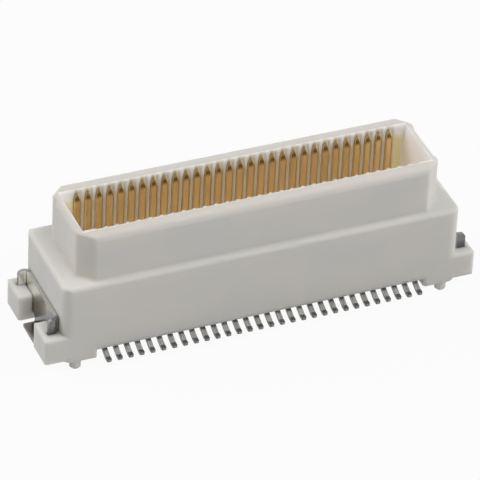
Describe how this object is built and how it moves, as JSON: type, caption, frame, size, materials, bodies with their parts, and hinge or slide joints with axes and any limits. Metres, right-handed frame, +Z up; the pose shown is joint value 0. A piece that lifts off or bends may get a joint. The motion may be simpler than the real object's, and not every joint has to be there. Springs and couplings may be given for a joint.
{
  "type": "rectangular connector",
  "caption": "Tall shrouded two-row board connector with fine-pitch blade contacts, gull-wing leads, locating pegs and metal hold-down fittings at both ends.",
  "frame": {"origin": "centre of the solder footprint, on the board surface", "axes": "+X along the contact rows, +Y across them towards the far row, away from the locating pegs, +Z up from the board towards the open mouth"},
  "size_m": [0.024, 0.007, 0.0078],
  "materials": {
    "housing": "ivory moulded liquid-crystal polymer, satin",
    "fitting": "tin-plated sheet, bright",
    "contact": "gold-plated blades with tin-plated leads"
  },
  "bodies": {
    "root": {"housing": "housing", "fitting_left": "fitting", "fitting_right": "fitting", "near_contacts_01": "contact", "near_contacts_02": "contact", "near_contacts_03": "contact", "near_contacts_04": "contact", "near_contacts_05": "contact", "near_contacts_06": "contact", "near_contacts_07": "contact", "near_contacts_08": "contact", "near_contacts_09": "contact", "near_contacts_10": "contact", "near_contacts_11": "contact", "near_contacts_12": "contact", "near_contacts_13": "contact", "near_contacts_14": "contact", "near_contacts_15": "contact", "far_contacts_01": "contact", "far_contacts_02": "contact", "far_contacts_03": "contact", "far_contacts_04": "contact", "far_contacts_05": "contact", "far_contacts_06": "contact", "far_contacts_07": "contact", "far_contacts_08": "contact", "far_contacts_09": "contact", "far_contacts_10": "contact", "far_contacts_11": "contact", "far_contacts_12": "contact", "far_contacts_13": "contact", "far_contacts_14": "contact", "far_contacts_15": "contact"}
  },
  "joints": []
}
